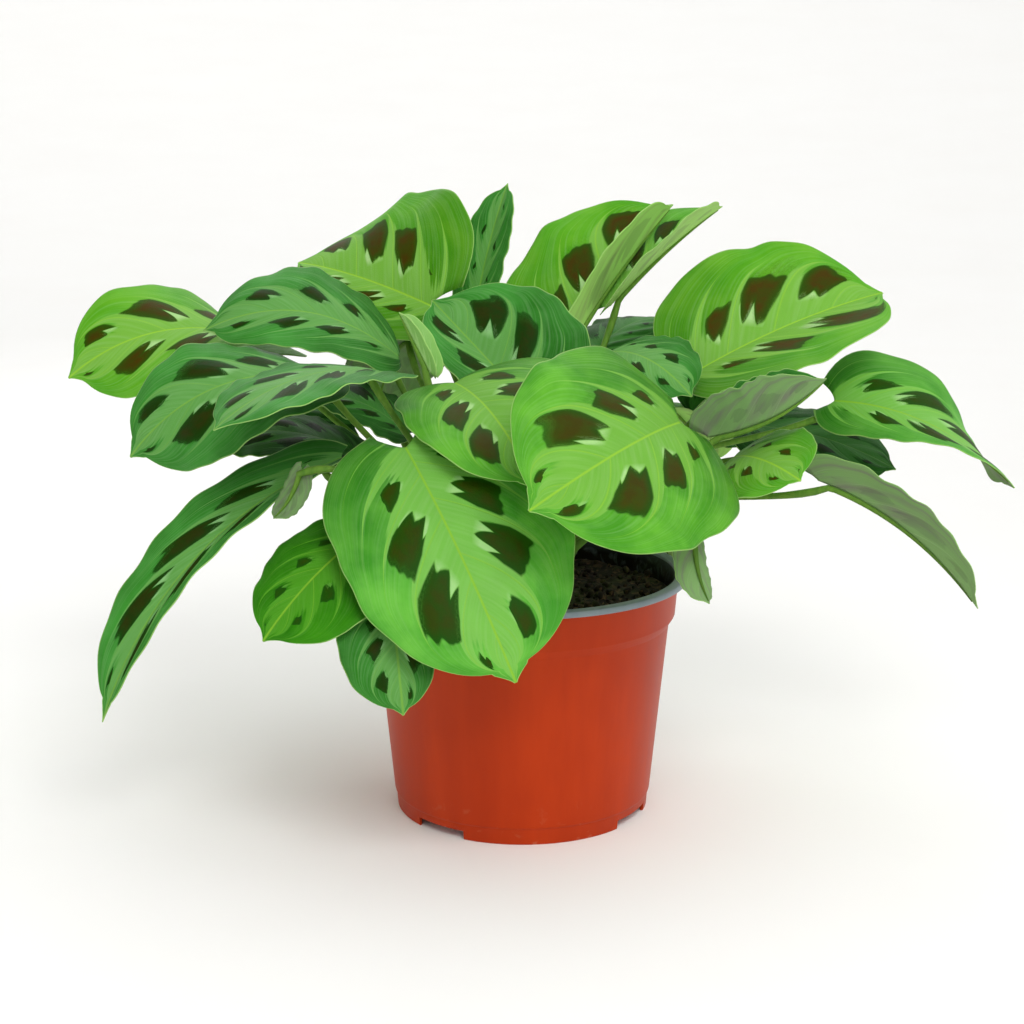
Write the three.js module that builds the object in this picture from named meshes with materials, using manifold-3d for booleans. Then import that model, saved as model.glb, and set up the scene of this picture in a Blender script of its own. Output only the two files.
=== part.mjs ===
// A prayer plant (Maranta) in the thin plastic pot that it is sold in.
// Millimetres, +Z up. The origin is on the pot's axis, at the surface that the pot stands on.
// The viewer stands at -Y, so -Y is the front and +X is the viewer's right.
import * as THREE from "three";
import { mergeVertices } from "three/addons/utils/BufferGeometryUtils.js";
import Module from "manifold-3d";

const wasm = await Module();
wasm.setup();

// Pot: a 12 cm grower's pot with a collar, a rolled lip and four feet
const POT_SIDES = 40;
const POT_HEIGHT = 88;
const LIP_RADIUS = 60;
const LIP_HEIGHT = 2.4;
const LIP_ROUND = 0.9;
const COLLAR_TOP_RADIUS = 56.6;
const COLLAR_RADIUS = 55.6;
const COLLAR_Z = 73;
const SHOULDER_RADIUS = 53.4;
const SHOULDER_Z = 69.7;
const BODY_FOOT_RADIUS = 47.2;
const RING_RADIUS = 46.2;
const RING_HEIGHT = 5.8;
const RING_FLARE = 0.4;
const RING_BEVEL = 0.8;
const WALL = 1.2;
const INNER_STEP = 0.5;
const FLOOR_Z = 3.4;
const FLOOR_TOP = 5;
const FLOOR_BEVEL = 1.5;
const NOTCH_HEIGHT = 3.3;
const NOTCH_WIDE_DEG = 26;
const NOTCH_SEGMENTS = 4;
const FOOT_TURN_DEG = 10.5;
const NOTCH_FROM_FOOT_DEG = 50;
const DRAIN_HOLES = 8;
const DRAIN_RADIUS = 3;
const DRAIN_CIRCLE = 33;
const DRAIN_SIDES = 10;

// Soil: compost that fills the pot to just under its lip
const SOIL_Z = 79;
const SOIL_BUMP = 1.6;
const SOIL_RINGS = 5;
const SOIL_SIDES = 20;
const SOIL_BEVEL = 3;
const SOIL_BEVEL_HEIGHT = 4;
const SOIL_ABOVE_STEP = 1;
const HOLE_RADIUS = 2.7;
const HOLE_SIDES = 6;

// Blades
const BLADE_THICK = 0.8;
const ROW_PLACES = [0, 0.04, 0.12, 0.25, 0.4, 0.56, 0.72, 0.86, 0.95, 1];
const HALF_COLUMNS = 3;
const OVAL_SHIFT = 0.75;
const OVAL_POWER = 2.6;
const BASE_WIDE = 0.25;
const POINT_STARTS = 0.95;
const POINT_WIDE = 0.13;
const TIP_WIDE = 0.04;
const LOBE_SHARE = 0.12;
const LOBE_ENDS = 0.35;
const LOBE_POWER = 1.5;
const BOW = 4;
const LIFT_DEG = [5, 5];
const CURL_DEG = [20, 20];
const WAVE_SHARE = 0.03;
const RIPPLES = 2.5;
const CHORD = 0.01;

// Petioles
const ROOT_SHARE = 0.06;
const PETIOLE_SIDES = 5;
const PETIOLE_STEPS = 5;
const PETIOLE_FOOT_RADIUS = 2;
const PETIOLE_TOP_RADIUS = 1.25;
const PETIOLE_TAPER = 1.6;
const PETIOLE_DEPTH = 9;
const PETIOLE_STRAIGHT = 4;
const PETIOLE_RISE = 0.45;
const PETIOLE_LEAD = 0.35;
const PETIOLE_LEVEL = 0.4;

// Fits: the gap between pieces that touch, and how far a cutter runs past what it cuts
const GAP = 0.3;
const CUT_CLEAR = 3;
const MERGE_DISTANCE = 1e-4;

// Each leaf: foot is where its petiole stands in the soil, from is where the blade leaves the petiole,
// to is the blade's tip, and half is the greatest width of each half of it: [left, right]. All are in mm.
// roll turns the blade about its midrib, towards its own right, and twist turns it from base to tip.
// bow is how far the midrib arches above the straight line, in mm.
// lift raises each half from flat, and curl bends each half down towards its margin: [left, right].
// lobe is how far the base reaches back past the petiole, as a share of the length.
// level is how much the petiole's end follows the blade: 0 for upright, 1 for in line with it.
// Angles are in degrees. A value that a leaf leaves out is the one above.
const LEAVES = [
  { name: "front_large", foot: [-17, -24], from: [-39, -48, 142], to: [-2, -95, 75], half: [39, 37],
    roll: 28, bow: 8, lift: [8, 8], curl: [25, 25] },
  { name: "front_round", foot: [12, -30], from: [54, -28, 147], to: [2, -105, 133], half: [40, 40],
    roll: -45, bow: 8, lift: [10, 10], curl: [25, 25], lobe: 0.16, level: 0.6 },
  { name: "centre", foot: [-10, -3], from: [-24, -5, 157], to: [4, -72, 133], half: [37, 29], bow: 6,
    lift: [28, 5], curl: [25, 25], lobe: 0.06 },
  { name: "centre_back", foot: [2, 0], from: [4, 6, 146], to: [-34, 42, 181], half: [20, 36], roll: -44,
    bow: 0, lift: [45, 0], curl: [10, 10], lobe: 0.06 },
  { name: "furled", foot: [-14, 4], from: [-33, 0, 160], to: [-44, 5, 181], half: [5, 7], lift: [75, 50],
    curl: [1, 1], bow: 0, young: true },
  { name: "left_mid", foot: [-22, -10], from: [-49, -30, 165], to: [-99, -72, 152], half: [27, 25],
    roll: -2, bow: 7, lift: [8, 2], curl: [12, 12] },
  { name: "left_lower", foot: [-30, 4], from: [-66, -4, 159], to: [-138, -14, 132], half: [32, 30],
    roll: -30, bow: 15, twist: 55, lobe: 0.02 },
  { name: "left_upper", foot: [-21, 9], from: [-46, 32, 161], to: [-118, 30, 171], half: [20, 31],
    roll: -30, bow: 15, lift: [8, 5], curl: [25, 20], twist: 20, lobe: 0.02 },
  { name: "left_far", foot: [-38, 18], from: [-94, 60, 162], to: [-174, 52, 150], half: [29, 34],
    roll: -30, bow: 15, twist: 70, young: true },
  { name: "top_left", foot: [-12, 19], from: [-35, 52, 178], to: [-90, 96, 190], half: [20, 46],
    roll: -50, bow: 5, lift: [15, 5], twist: -40, young: true },
  { name: "top_right", foot: [5, 15], from: [18, 54, 162], to: [60, 98, 213], half: [38, 18], bow: 2,
    lift: [30, 75], curl: [10, 10], young: true },
  { name: "top_right_back", foot: [12, 24], from: [34, 68, 176], to: [80, 102, 212], half: [25, 22],
    bow: 2, lift: [20, 45], curl: [10, 10] },
  { name: "top_spike", foot: [-7, 29], from: [-19, 86, 170], to: [-6, 105, 221], half: [12, 12], bow: 2,
    lift: [20, 20], curl: [10, 10] },
  { name: "right_top", foot: [0, 8], from: [65, 26, 157], to: [136, 50, 183], half: [40, 38], roll: 35,
    lift: [15, 32], curl: [10, 10], young: true, level: 0.8 },
  { name: "right_far", foot: [8, -20], from: [115, 24, 146], to: [175, -8, 120], half: [33, 17], bow: 8,
    twist: 85, roll: 8, lobe: 0.1, level: 0.6 },
  { name: "right_trailing", foot: [14, 0], from: [104, -14, 124], to: [155, -46, 86], half: [8, 14],
    bow: 6, lift: [75, 75], curl: [10, 10], level: 0.6 },
  { name: "right_pale", foot: [14, -12], from: [65, -12, 139], to: [104, -26, 162], half: [17, 17],
    bow: -4, lift: [70, 70], curl: [10, 10], level: 0.6 },
  { name: "right_small", foot: [4, -12], from: [76, 2, 129], to: [95, -35, 128], half: [21, 21],
    roll: 30, young: true, level: 1 },
  { name: "right_behind", foot: [4, 42], from: [88, 45, 133], to: [140, 30, 119], half: [23, 23],
    roll: 20, level: 1 },
  { name: "right_mid", foot: [10, -6], from: [64, 30, 141], to: [98, 40, 149], half: [20, 20],
    lift: [30, 30], curl: [10, 10], lobe: 0.04, level: 0.6 },
  { name: "centre_right", foot: [12, 8], from: [32, 24, 164], to: [60, -4, 152], half: [20, 18],
    roll: 20, bow: 6, lobe: 0.02 },
  { name: "right_high", foot: [14, 31], from: [30, 68, 160], to: [58, 92, 168], half: [23, 23] },
  { name: "left_long", foot: [-29, -9], from: [-63, -20, 133], to: [-143, -55, 48], half: [9, 17],
    roll: -15, bow: 17, lift: [15, 35], curl: [10, 15], twist: 15, lobe: 0.04 },
  { name: "left_behind", foot: [-27, 12], from: [-63, 20, 128], to: [-116, 26, 130], half: [23, 23],
    roll: -10, bow: 6 },
  { name: "left_inner", foot: [-24, 1], from: [-42, 15, 135], to: [-80, 20, 149], half: [15, 24],
    roll: -10, bow: 5, lobe: 0.04 },
  { name: "left_droop", foot: [-30, -20], from: [-74, -45, 134], to: [-83, -54, 119], half: [5, 5],
    lift: [20, 20], curl: [10, 10], roll: 150, level: 0.55 },
  { name: "low_left", foot: [-24, -27], from: [-51, -54, 115], to: [-84, -80, 84], half: [26, 21],
    roll: -20, lobe: 0.04, young: true },
  { name: "low_front", foot: [-17, -34], from: [-43, -72, 100], to: [-38, -92, 63], half: [13, 19],
    roll: 10, bow: 3, lobe: 0.04 },
  { name: "rim_right", foot: [8, -36], from: [56, -64, 115], to: [61, -73, 95], half: [8, 7], bow: 2,
    lift: [20, 20], curl: [10, 10], roll: 170, level: 0.8 },
  { name: "back_centre", foot: [1, 26], from: [4, 72, 144], to: [8, 105, 104], half: [22, 22], bow: 5,
    lift: [8, 8], curl: [25, 25] },
  { name: "back_left", foot: [-14, 27], from: [-43, 60, 164], to: [-60, 104, 128], half: [19, 22],
    roll: 5, bow: 8, lift: [8, 8], curl: [25, 25] },
  { name: "back_far_left", foot: [-24, 20], from: [-66, 60, 132], to: [-112, 88, 133], half: [18, 20],
    roll: -15, bow: 8, lift: [8, 8], curl: [25, 25] },
  { name: "back_right", foot: [8, 36], from: [48, 66, 138], to: [76, 102, 106], half: [24, 24], roll: -5,
    bow: 8, lift: [8, 8], curl: [25, 25] },
  { name: "back_low", foot: [-2, 36], from: [-6, 62, 108], to: [-12, 90, 66], half: [21, 21], bow: 6,
    lift: [8, 8], curl: [25, 25], young: true },
  { name: "back_low_right", foot: [14, 40], from: [38, 60, 108], to: [60, 86, 70], half: [20, 20],
    bow: 6, lift: [8, 8], curl: [25, 25], level: 0.6 },
  { name: "back_low_left", foot: [-20, 34], from: [-42, 58, 108], to: [-68, 84, 72], half: [20, 20],
    bow: 6, lift: [8, 8], curl: [25, 25] },
  { name: "back_far_right", foot: [14, 16], from: [88, 58, 122], to: [134, 84, 100], half: [22, 22],
    bow: 6, lift: [8, 8], curl: [25, 25], level: 0.6 },
];

const LOOKS = {
  pot: { color: 0xb23a1a, roughness: 0.42 },
  soil: { color: 0x2a1c12, roughness: 0.95 },
  youngLeaf: { color: 0x5cab2e, roughness: 0.45 },
  grownLeaf: { color: 0x3c8a4c, roughness: 0.5 },
};

const rad = THREE.MathUtils.degToRad;
const lerp = THREE.MathUtils.lerp;

// A closed geometry as a solid that can be joined and cut.
function solidOf(geometry) {
  const bare = geometry.clone();
  bare.deleteAttribute("normal");
  bare.deleteAttribute("uv");
  const merged = mergeVertices(bare, MERGE_DISTANCE);
  const mesh = new wasm.Mesh({
    numProp: 3,
    vertProperties: merged.attributes.position.array,
    triVerts: new Uint32Array(merged.index.array),
  });
  return new wasm.Manifold(mesh);
}

function geometryOf(solid) {
  const mesh = solid.getMesh();
  const geometry = new THREE.BufferGeometry();
  geometry.setAttribute("position", new THREE.BufferAttribute(mesh.vertProperties, 3));
  geometry.setIndex(new THREE.BufferAttribute(mesh.triVerts, 1));
  geometry.computeVertexNormals();
  return geometry;
}

// An indexed geometry from a list of points and a list of triangles.
function meshed(points, triangles) {
  const geometry = new THREE.BufferGeometry().setFromPoints(points);
  geometry.setIndex(triangles.flat());
  return geometry;
}

// A profile of [radius, height] pairs turned about the vertical axis.
function turned(profile, sides) {
  const points = profile.map(([radius, z]) => new THREE.Vector2(radius, z));
  return new THREE.LatheGeometry(points, sides).rotateX(Math.PI / 2);
}

// A ring of points about a centre, in the plane of the directions x and y.
function ringOf(centre, x, y, radius, sides) {
  const points = [];
  for (let j = 0; j < sides; j++) {
    const angle = (j / sides) * 2 * Math.PI;
    const point = centre.clone();
    point.addScaledVector(x, radius * Math.cos(angle));
    point.addScaledVector(y, radius * Math.sin(angle));
    points.push(point);
  }
  return points;
}

// A closed solid around a stack of rings, with a first and a last point.
function stacked(first, rings, last) {
  const sides = rings[0].length;
  const points = [first, ...rings.flat(), last];
  const at = (i, j) => 1 + i * sides + (j % sides);
  const end = rings.length - 1;
  const triangles = [];
  for (let j = 0; j < sides; j++) {
    triangles.push([0, at(0, j + 1), at(0, j)]);
    triangles.push([points.length - 1, at(end, j), at(end, j + 1)]);
    for (let i = 0; i < end; i++) {
      triangles.push([at(i, j), at(i, j + 1), at(i + 1, j + 1)]);
      triangles.push([at(i, j), at(i + 1, j + 1), at(i + 1, j)]);
    }
  }
  return solidOf(meshed(points, triangles));
}

// The pot

function potProfile() {
  const lipBase = POT_HEIGHT - LIP_HEIGHT;
  return [
    [0, FLOOR_Z],
    [RING_RADIUS - WALL, FLOOR_Z],
    [RING_RADIUS - WALL, 0],
    [RING_RADIUS, 0],
    [RING_RADIUS + RING_FLARE, RING_HEIGHT],
    [BODY_FOOT_RADIUS, RING_HEIGHT + RING_BEVEL],
    [SHOULDER_RADIUS, SHOULDER_Z],
    [COLLAR_RADIUS, COLLAR_Z],
    [COLLAR_TOP_RADIUS, lipBase],
    [LIP_RADIUS, lipBase],
    [LIP_RADIUS, POT_HEIGHT - LIP_ROUND],
    [LIP_RADIUS - LIP_ROUND, POT_HEIGHT],
    [COLLAR_TOP_RADIUS, POT_HEIGHT],
    [COLLAR_TOP_RADIUS - WALL, POT_HEIGHT - WALL],
    [COLLAR_RADIUS - WALL, COLLAR_Z + INNER_STEP],
    [SHOULDER_RADIUS - WALL, SHOULDER_Z + INNER_STEP],
    [BODY_FOOT_RADIUS - WALL, FLOOR_TOP + FLOOR_BEVEL],
    [BODY_FOOT_RADIUS - WALL - FLOOR_BEVEL, FLOOR_TOP],
    [0, FLOOR_TOP],
  ];
}

// A block that covers one notch of the foot ring. turnDeg is counted from the front.
function notchCutter(turnDeg) {
  const half = rad(NOTCH_WIDE_DEG / 2);
  const middle = rad(turnDeg - 90);
  const sector = new THREE.Shape();
  sector.absarc(0, 0, RING_RADIUS + CUT_CLEAR, middle - half, middle + half, false);
  sector.absarc(0, 0, RING_RADIUS - WALL - CUT_CLEAR, middle + half, middle - half, true);
  const block = new THREE.ExtrudeGeometry(sector, {
    depth: NOTCH_HEIGHT + CUT_CLEAR,
    bevelEnabled: false,
    curveSegments: NOTCH_SEGMENTS,
  });
  return solidOf(block.translate(0, 0, -CUT_CLEAR));
}

// An upright round cutter from one height to another.
function roundCutter(x, y, low, high, radius, sides) {
  const hole = new THREE.CylinderGeometry(radius, radius, high - low, sides).rotateX(Math.PI / 2);
  return solidOf(hole.translate(x, y, (low + high) / 2));
}

function drainCutter(index) {
  const angle = (index / DRAIN_HOLES) * 2 * Math.PI;
  const x = DRAIN_CIRCLE * Math.cos(angle);
  const y = DRAIN_CIRCLE * Math.sin(angle);
  return roundCutter(x, y, FLOOR_Z - CUT_CLEAR, FLOOR_TOP + CUT_CLEAR, DRAIN_RADIUS, DRAIN_SIDES);
}

function potSolid() {
  let pot = solidOf(turned(potProfile(), POT_SIDES));
  for (const side of [0, 180]) {
    for (const step of [-NOTCH_FROM_FOOT_DEG, NOTCH_FROM_FOOT_DEG]) {
      pot = pot.subtract(notchCutter(FOOT_TURN_DEG + side + step));
    }
  }
  for (let i = 0; i < DRAIN_HOLES; i++) pot = pot.subtract(drainCutter(i));
  return pot;
}

// The soil

// The radius inside the pot's tapered body at a height.
function innerRadius(z) {
  const low = FLOOR_TOP + FLOOR_BEVEL;
  const high = SHOULDER_Z + INNER_STEP;
  return lerp(BODY_FOOT_RADIUS, SHOULDER_RADIUS, (z - low) / (high - low)) - WALL;
}

// The compost as a filling a little smaller than the pot, with an uneven top.
function soilBody() {
  const x = new THREE.Vector3(1, 0, 0);
  const y = new THREE.Vector3(0, 1, 0);
  const floor = FLOOR_TOP + GAP;
  const bevelTop = floor + SOIL_BEVEL_HEIGHT;
  const collarRadius = COLLAR_RADIUS - WALL - GAP;
  const levels = [
    [innerRadius(floor) - SOIL_BEVEL, floor],
    [innerRadius(bevelTop) - GAP, bevelTop],
    [innerRadius(SHOULDER_Z) - GAP, SHOULDER_Z + SOIL_ABOVE_STEP],
    [collarRadius, COLLAR_Z + SOIL_ABOVE_STEP + INNER_STEP],
    [collarRadius, SOIL_Z],
  ];
  const rings = levels.map(([radius, z]) => ringOf(new THREE.Vector3(0, 0, z), x, y, radius, SOIL_SIDES));
  for (let i = SOIL_RINGS - 1; i > 0; i--) {
    const ring = ringOf(new THREE.Vector3(0, 0, SOIL_Z), x, y, (collarRadius * i) / SOIL_RINGS, SOIL_SIDES);
    ring.forEach((point, j) => {
      point.z += SOIL_BUMP * (2 * THREE.MathUtils.seededRandom(i * SOIL_SIDES + j) - 1);
    });
    rings.push(ring);
  }
  return stacked(new THREE.Vector3(0, 0, floor), rings, new THREE.Vector3(0, 0, SOIL_Z + SOIL_BUMP));
}

function soilSolid() {
  let soil = soilBody();
  for (const { foot } of LEAVES) {
    const bottom = SOIL_Z - PETIOLE_DEPTH - GAP;
    soil = soil.subtract(roundCutter(...foot, bottom, SOIL_Z + CUT_CLEAR, HOLE_RADIUS, HOLE_SIDES));
  }
  return soil;
}

// A leaf

// Half the blade's width, as a share of its greatest, from its base at 0 to its tip at 1:
// a round base, widest a little below the middle, and a short drawn-out point.
function outline(u) {
  const body = Math.min(u / POINT_STARTS, 1);
  const oval = Math.sqrt(Math.max(0, 1 - Math.abs(2 * body ** OVAL_SHIFT - 1) ** OVAL_POWER));
  const point = POINT_WIDE * Math.min(1, (1 - u) / (1 - POINT_STARTS)) + TIP_WIDE;
  return Math.max(oval, u < 0.5 ? BASE_WIDE : point);
}

// A blade's length, the direction out of its upper face, and its midrib as a curve from base to tip.
function bladeFrame(leaf) {
  const from = new THREE.Vector3(...leaf.from);
  const along = new THREE.Vector3(...leaf.to).sub(from);
  const length = along.length();
  along.normalize();
  const up = new THREE.Vector3(0, 0, 1).addScaledVector(along, -along.z).normalize();
  up.applyAxisAngle(along, rad(leaf.roll ?? 0));
  const midrib = (u) => {
    const hump = (leaf.bow ?? BOW) * 4 * u * (1 - u);
    return from.clone().addScaledVector(along, length * u).addScaledVector(up, hump);
  };
  return { length, up, midrib };
}

// A point of the blade's middle surface. v runs from -1 at the left margin to 1 at the right.
// The margins' waves start at a phase of their own in each leaf and in each half.
function bladePoint(leaf, frame, u, v) {
  const side = v < 0 ? 0 : 1;
  const reach = Math.abs(v);
  const tangent = frame.midrib(u + CHORD).sub(frame.midrib(u - CHORD)).normalize();
  const normal = frame.up.clone().addScaledVector(tangent, -frame.up.dot(tangent)).normalize();
  normal.applyAxisAngle(tangent, rad((leaf.twist ?? 0) * (0.5 - u)));
  const across = tangent.clone().cross(normal);
  const half = leaf.half[side] * outline(u);
  const lift = rad((leaf.lift ?? LIFT_DEG)[side]);
  const curl = rad((leaf.curl ?? CURL_DEG)[side]);
  const out = (half * (Math.sin(lift) - Math.sin(lift - curl * reach))) / curl;
  const rise = (half * (Math.cos(lift - curl * reach) - Math.cos(lift))) / curl;
  const lobe = (leaf.lobe ?? LOBE_SHARE) * reach ** LOBE_POWER * Math.max(0, 1 - u / LOBE_ENDS) ** 2;
  const phase = 2 * Math.PI * RIPPLES * u + 2 * side + leaf.from[0];
  const wave = WAVE_SHARE * half * reach ** 2 * Math.sin(phase);
  const point = frame.midrib(u);
  point.addScaledVector(across, Math.sign(v) * out);
  point.addScaledVector(normal, rise + wave);
  return point.addScaledVector(tangent, -lobe * frame.length);
}

// The blade as a thin closed shell on both sides of its middle surface, split alike on both faces.
function bladeSolid(leaf, frame) {
  const columns = 2 * HALF_COLUMNS;
  const rows = ROW_PLACES.length - 1;
  const middle = [];
  for (const u of ROW_PLACES) {
    for (let j = 0; j <= columns; j++) middle.push(bladePoint(leaf, frame, u, j / HALF_COLUMNS - 1));
  }
  const count = middle.length;
  const at = (i, j) => i * (columns + 1) + j;
  const upper = [];
  for (let i = 0; i < rows; i++) {
    for (let j = 0; j < columns; j++) {
      upper.push([at(i, j), at(i + 1, j + 1), at(i + 1, j)]);
      upper.push([at(i, j), at(i, j + 1), at(i + 1, j + 1)]);
    }
  }
  const lower = upper.map(([a, b, c]) => [a + count, c + count, b + count]);
  const margin = [];
  const wall = (a, b) => margin.push([b, a, a + count], [b, a + count, b + count]);
  for (let j = 0; j < columns; j++) {
    wall(at(0, j), at(0, j + 1));
    wall(at(rows, j + 1), at(rows, j));
  }
  for (let i = 0; i < rows; i++) {
    wall(at(i + 1, 0), at(i, 0));
    wall(at(i, columns), at(i + 1, columns));
  }
  const sheet = meshed(middle, upper);
  sheet.computeVertexNormals();
  const shifted = (distance) => middle.map((point, k) => {
    const normal = new THREE.Vector3().fromBufferAttribute(sheet.attributes.normal, k);
    return point.clone().addScaledVector(normal, distance);
  });
  const shell = [...shifted(BLADE_THICK / 2), ...shifted(-BLADE_THICK / 2)];
  return solidOf(meshed(shell, [...upper, ...lower, ...margin]));
}

// The petiole: it stands upright in the soil, then leans out to the blade and runs a little way into it.
function petioleSolid(leaf, frame) {
  const upright = new THREE.Vector3(0, 0, 1);
  const bottom = new THREE.Vector3(...leaf.foot, SOIL_Z - PETIOLE_DEPTH);
  const start = bottom.clone().setZ(SOIL_Z + PETIOLE_STRAIGHT);
  const top = frame.midrib(ROOT_SHARE);
  const heading = top.clone().sub(frame.midrib(0)).normalize();
  const arrival = upright.clone().lerp(heading, leaf.level ?? PETIOLE_LEVEL).normalize();
  const reach = top.distanceTo(start);
  const bend = new THREE.CubicBezierCurve3(
    start,
    start.clone().addScaledVector(upright, reach * PETIOLE_RISE),
    top.clone().addScaledVector(arrival, -reach * PETIOLE_LEAD),
    top,
  );
  const { normals, binormals } = bend.computeFrenetFrames(PETIOLE_STEPS, false);
  const rings = [ringOf(bottom, normals[0], binormals[0], PETIOLE_FOOT_RADIUS, PETIOLE_SIDES)];
  for (let i = 0; i <= PETIOLE_STEPS; i++) {
    const share = i / PETIOLE_STEPS;
    const radius = lerp(PETIOLE_FOOT_RADIUS, PETIOLE_TOP_RADIUS, Math.min(1, share * PETIOLE_TAPER));
    rings.push(ringOf(bend.getPoint(share), normals[i], binormals[i], radius, PETIOLE_SIDES));
  }
  return stacked(bottom, rings, top);
}

function leafSolid(leaf) {
  const frame = bladeFrame(leaf);
  return bladeSolid(leaf, frame).add(petioleSolid(leaf, frame));
}

// Assembly

const plant = new THREE.Group();

function addPiece(name, solid, look) {
  const piece = new THREE.Mesh(geometryOf(solid), new THREE.MeshStandardMaterial(look));
  piece.name = name;
  plant.add(piece);
}

addPiece("pot", potSolid(), LOOKS.pot);
addPiece("soil", soilSolid(), LOOKS.soil);
for (const leaf of LEAVES) {
  addPiece("leaf_" + leaf.name, leafSolid(leaf), leaf.young ? LOOKS.youngLeaf : LOOKS.grownLeaf);
}

export default plant;
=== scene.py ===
# %% [markdown]
# # A prayer plant in its pot
#
# This lesson dresses a measured model of a potted prayer plant (Maranta) for a photograph-like render.
# The model already holds the pot, the soil and every leaf as plain solids, at their real size. Here each
# solid is replaced by a finer piece of the same form, and each piece gets a material made of nodes. All
# lengths in the tables are in millimetres, because plants and pots are measured in them, and Blender
# works in metres, so `MM` turns one into the other.

# %% Load the measured model
import math
import random

import bpy
import numpy as np
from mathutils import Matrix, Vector, noise


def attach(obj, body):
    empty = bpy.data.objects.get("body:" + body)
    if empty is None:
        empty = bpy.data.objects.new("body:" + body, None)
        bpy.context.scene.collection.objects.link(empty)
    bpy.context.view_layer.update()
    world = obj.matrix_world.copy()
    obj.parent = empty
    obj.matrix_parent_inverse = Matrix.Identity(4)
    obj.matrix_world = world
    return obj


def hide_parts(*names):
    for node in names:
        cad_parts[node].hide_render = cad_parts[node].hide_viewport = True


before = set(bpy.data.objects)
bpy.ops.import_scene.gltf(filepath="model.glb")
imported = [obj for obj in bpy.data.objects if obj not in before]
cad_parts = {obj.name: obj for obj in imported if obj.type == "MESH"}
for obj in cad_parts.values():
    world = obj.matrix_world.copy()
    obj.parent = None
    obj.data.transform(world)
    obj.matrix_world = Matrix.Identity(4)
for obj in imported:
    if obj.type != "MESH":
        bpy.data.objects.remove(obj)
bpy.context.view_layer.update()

MM = 0.001

# %% [markdown]
# ## Small helpers
#
# A colour picker gives sRGB hex values, but a renderer adds light in linear values, so one function
# converts. A material is a tree of nodes. One function adds a node, sets its settings and plugs in its
# inputs, where an input is either a plain value or another node. That keeps each tree readable from top
# to bottom.


# %% Colour and node helpers
def colour(code):
    """An sRGB hex code as a linear colour with full alpha."""
    channels = [int(code[i : i + 2], 16) / 255 for i in (1, 3, 5)]
    return [c / 12.92 if c <= 0.04045 else ((c + 0.055) / 1.055) ** 2.4 for c in channels] + [1.0]


def add(tree, kind, *inputs, **settings):
    """Adds a shader node. Each input is a pair: the socket, and a value, a node or a node's output."""
    node = tree.nodes.new("ShaderNode" + kind)
    for name, value in settings.items():
        setattr(node, name, value)
    for socket, value in inputs:
        if isinstance(value, bpy.types.Node):
            value = value.outputs[0]
        if isinstance(value, bpy.types.NodeSocket):
            tree.links.new(value, node.inputs[socket])
        else:
            node.inputs[socket].default_value = value
    return node


def new_material(name):
    """A material with an empty tree, and its output node."""
    material = bpy.data.materials.new(name)
    material.use_nodes = True
    material.node_tree.nodes.clear()
    return material, add(material.node_tree, "OutputMaterial")


print("terracotta in linear values:", [round(c, 3) for c in colour("#B83808")])

# %% [markdown]
# ## Modelling helpers
#
# Everything is modelled as by hand: a primitive is added, then shaped in edit mode. An operator works on
# all that is selected, so each step starts by selecting nothing. When a piece is finished, its place is
# applied to its mesh, it is hung on the body that carries it, and the solid it stands for is hidden.


# %% Modelling helpers
def select(*pieces):
    """Selects these pieces alone and makes the first one active."""
    bpy.ops.object.select_all(action="DESELECT")
    for piece in pieces:
        piece.select_set(True)
    bpy.context.view_layer.objects.active = pieces[0]


def start(operator, **options):
    """Adds a primitive with nothing else selected, and returns it."""
    bpy.ops.object.select_all(action="DESELECT")
    operator(**options)
    return bpy.context.object


def spun(section, steps):
    """A section of (radius, height) points, extruded from one vertex and spun about the upright axis."""
    piece = start(bpy.ops.mesh.primitive_circle_add, vertices=3, radius=MM)
    bpy.ops.object.mode_set(mode="EDIT")
    bpy.ops.mesh.merge(type="CENTER")
    bpy.ops.transform.translate(value=(section[0][0] * MM, 0, section[0][1] * MM))
    for (r0, z0), (r1, z1) in zip(section, section[1:]):
        step = ((r1 - r0) * MM, 0, (z1 - z0) * MM)
        bpy.ops.mesh.extrude_region_move(TRANSFORM_OT_translate={"value": step})
    bpy.ops.mesh.select_all(action="SELECT")
    bpy.ops.mesh.spin(steps=steps, angle=2 * math.pi, center=(0, 0, 0), axis=(0, 0, 1))
    bpy.ops.mesh.select_all(action="SELECT")
    bpy.ops.mesh.remove_doubles(threshold=0.01 * MM)
    bpy.ops.mesh.normals_make_consistent(inside=False)
    bpy.ops.object.mode_set(mode="OBJECT")
    return piece


def apply_modifiers(piece):
    bpy.context.view_layer.objects.active = piece
    for modifier in list(piece.modifiers):
        bpy.ops.object.modifier_apply(modifier=modifier.name)


def join(pieces):
    """Joins pieces into the first of them."""
    select(*pieces)
    bpy.ops.object.join()
    return pieces[0]


def finish_piece(piece, name, node):
    """Names a piece, puts its place into its mesh and ties it to the measured model."""
    piece.name = name
    piece.data.name = name
    select(piece)
    bpy.ops.object.transform_apply(location=True, rotation=True, scale=True)
    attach(piece, "root")
    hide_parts(node)
    return len(piece.data.polygons)


# %% [markdown]
# ## The camera
#
# The pot is round and its size is known, so the ellipse of its lip and the slope of its sides give the
# camera away: how far off it stood, how high, and how long its lens was. A long lens from 70 cm flattens
# the plant only a little, which is how a catalogue picture is taken.

# %% Camera
CAMERA_PLACE = (0, -683, 262)
CAMERA_DOWN = 0.22
CAMERA_TURN = 0.0055
LENS = 68.1

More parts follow.
